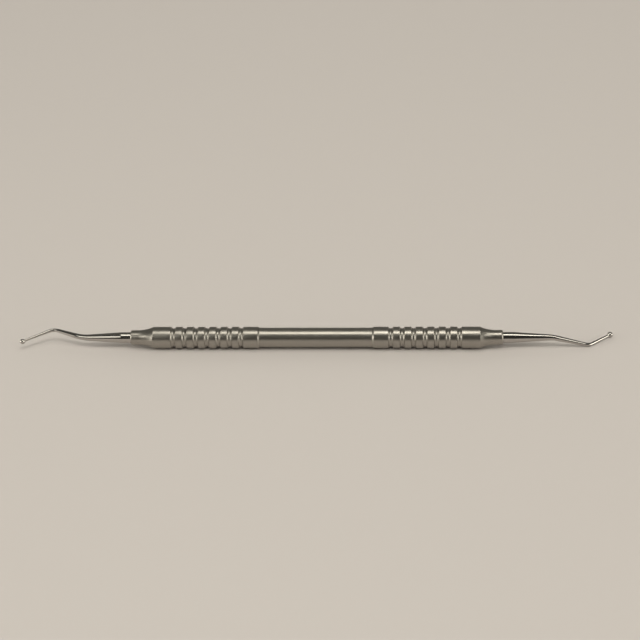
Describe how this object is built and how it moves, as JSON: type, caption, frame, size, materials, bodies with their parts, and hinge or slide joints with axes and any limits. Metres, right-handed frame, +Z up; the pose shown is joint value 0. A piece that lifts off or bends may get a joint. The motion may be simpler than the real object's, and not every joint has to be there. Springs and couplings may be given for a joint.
{
  "type": "composite filling instrument",
  "caption": "Slim double-ended dental hand instrument: turned steel handle with grooved grips, and tapered shanks bent to small polished ball tips.",
  "frame": {"origin": "on the surface the instrument lies on, under the middle of its bounding box", "axes": "+X along the handle from the left working end to the right one, +Y to the side that the right ball points to, +Z up"},
  "size_m": [0.1766, 0.0102, 0.0064],
  "materials": {
    "handle_steel": "satin, fine turned lines round the axis",
    "working_end_steel": "polished bright"
  },
  "bodies": {
    "root": {"handle": "handle_steel", "working_end_left": "working_end_steel", "working_end_right": "working_end_steel"}
  },
  "joints": []
}
